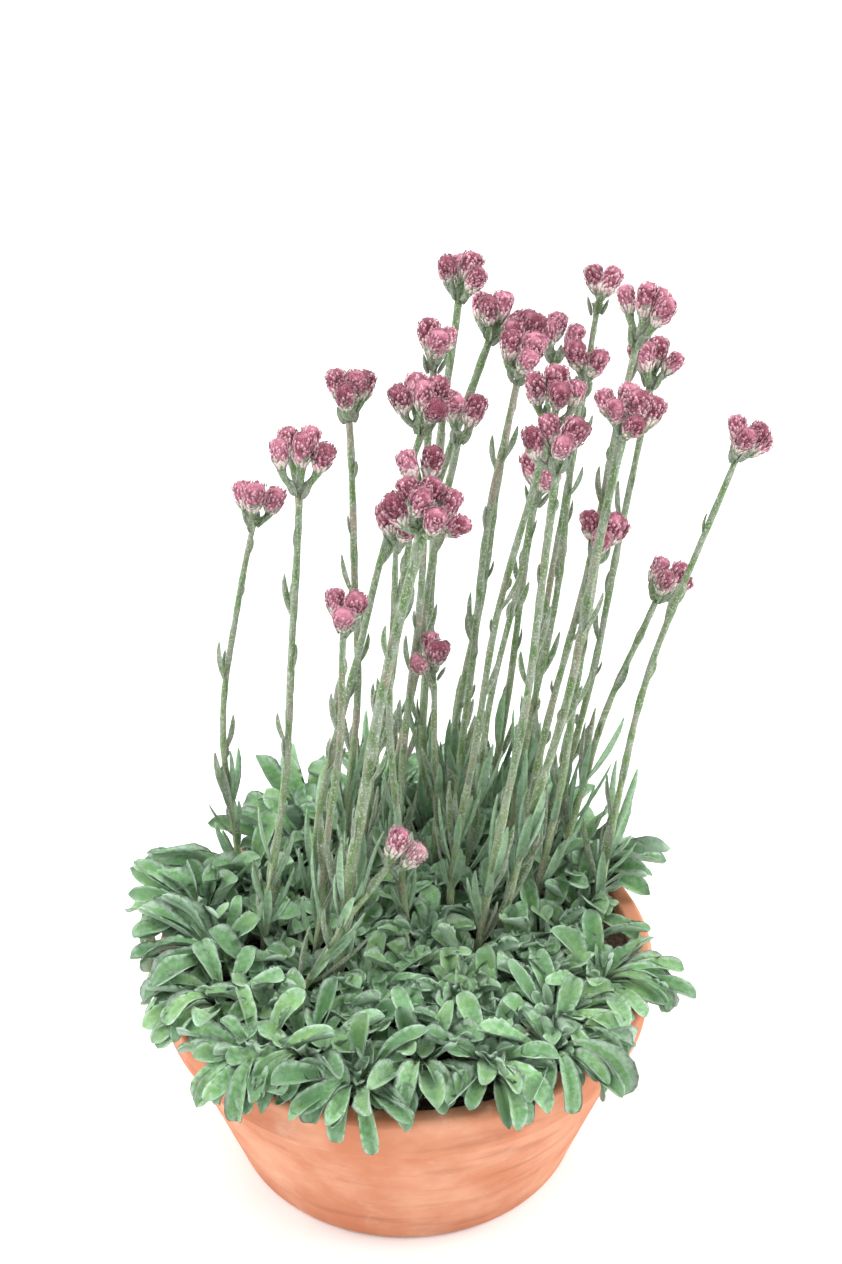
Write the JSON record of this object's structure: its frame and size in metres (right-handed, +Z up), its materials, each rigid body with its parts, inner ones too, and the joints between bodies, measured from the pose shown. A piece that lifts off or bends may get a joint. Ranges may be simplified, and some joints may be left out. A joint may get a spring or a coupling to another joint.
{
  "type": "potted rosy pussytoes",
  "caption": "Low mat of spoon-shaped woolly silver-green leaves in a shallow clay pot, with thin upright stems that carry clusters of fluffy pink heads.",
  "frame": {"origin": "centre of the pot's flat underside", "axes": "+Z up along the pot's axis; seen from the plant's front, +X points right and +Y points away"},
  "size_m": [0.1841, 0.1667, 0.2523],
  "materials": {
    "terracotta": "matte",
    "soil": "matte",
    "leaf": "matte",
    "stem": "matte",
    "bloom": "matte"
  },
  "bodies": {
    "root": {"pot": "terracotta", "soil": "soil", "leaf_mat": "leaf", "stem_01": "stem", "stem_02": "stem", "stem_03": "stem", "stem_04": "stem", "stem_05": "stem", "stem_06": "stem", "stem_07": "stem", "stem_08": "stem", "stem_09": "stem", "stem_10": "stem", "stem_11": "stem", "stem_12": "stem", "stem_13": "stem", "stem_14": "stem", "stem_15": "stem", "stem_16": "stem", "stem_17": "stem", "stem_18": "stem", "stem_19": "stem", "stem_20": "stem", "stem_21": "stem", "stem_22": "stem", "stem_23": "stem", "stem_24": "stem", "stem_25": "stem", "stem_26": "stem", "stem_27": "stem", "stem_28": "stem", "bloom_01": "bloom", "bloom_02": "bloom", "bloom_03": "bloom", "bloom_04": "bloom", "bloom_05": "bloom", "bloom_06": "bloom", "bloom_07": "bloom", "bloom_08": "bloom", "bloom_09": "bloom", "bloom_10": "bloom", "bloom_11": "bloom", "bloom_12": "bloom", "bloom_13": "bloom", "bloom_14": "bloom", "bloom_15": "bloom", "bloom_16": "bloom", "bloom_17": "bloom", "bloom_18": "bloom", "bloom_19": "bloom", "bloom_20": "bloom", "bloom_21": "bloom", "bloom_22": "bloom", "bloom_23": "bloom", "bloom_24": "bloom", "bloom_25": "bloom", "bloom_26": "bloom", "bloom_27": "bloom", "bloom_28": "bloom"}
  },
  "joints": []
}
